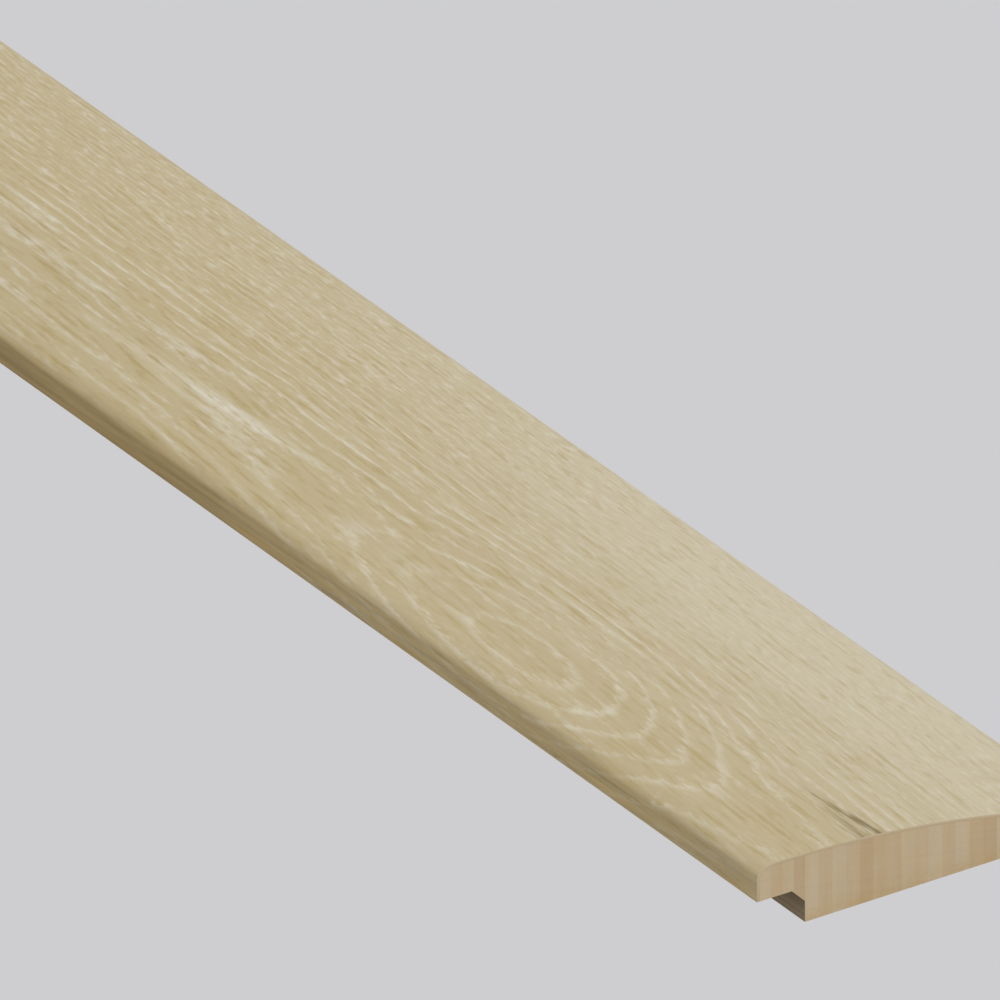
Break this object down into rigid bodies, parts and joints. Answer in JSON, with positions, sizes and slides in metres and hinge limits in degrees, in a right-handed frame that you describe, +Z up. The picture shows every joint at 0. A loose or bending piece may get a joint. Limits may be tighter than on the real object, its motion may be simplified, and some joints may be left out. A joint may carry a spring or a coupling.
{
  "type": "threshold strip",
  "caption": "Long low wooden threshold moulding: a lip over a rebate takes the edge of a floor covering, and a domed top slopes down to a thin far edge.",
  "frame": {"origin": "on the floor plane, under the middle of the strip's length and width", "axes": "+X along the strip, +Y across it from the overhanging lip to the thin far edge, +Z up"},
  "size_m": [0.9, 0.072, 0.0139],
  "materials": {
    "limed_oak_veneer": "limed oak veneer under a matt clear lacquer, grain along the strip and over the nose",
    "pale_ply": "bare sawn ply, pale grey-beige, fine upright end grain",
    "tan_ply": "bare sawn ply, yellowish tan, fine upright end grain",
    "dark_ply": "bare sawn ply, darker pinkish tan, fine upright end grain"
  },
  "bodies": {
    "root": {"face_veneer": "limed_oak_veneer", "lip_ply_01": "pale_ply", "lip_ply_02": "tan_ply", "lip_ply_03": "pale_ply", "lip_ply_04": "dark_ply", "body_ply_01": "pale_ply", "body_ply_02": "tan_ply", "body_ply_03": "pale_ply", "body_ply_04": "tan_ply", "body_ply_05": "dark_ply", "body_ply_06": "tan_ply", "body_ply_07": "tan_ply", "body_ply_08": "pale_ply", "body_ply_09": "tan_ply", "body_ply_10": "pale_ply", "body_ply_11": "tan_ply", "body_ply_12": "pale_ply", "body_ply_13": "tan_ply", "body_ply_14": "dark_ply", "body_ply_15": "pale_ply", "body_ply_16": "tan_ply", "body_ply_17": "dark_ply", "body_ply_18": "pale_ply", "body_ply_19": "tan_ply", "body_ply_20": "pale_ply", "body_ply_21": "tan_ply"}
  },
  "joints": []
}
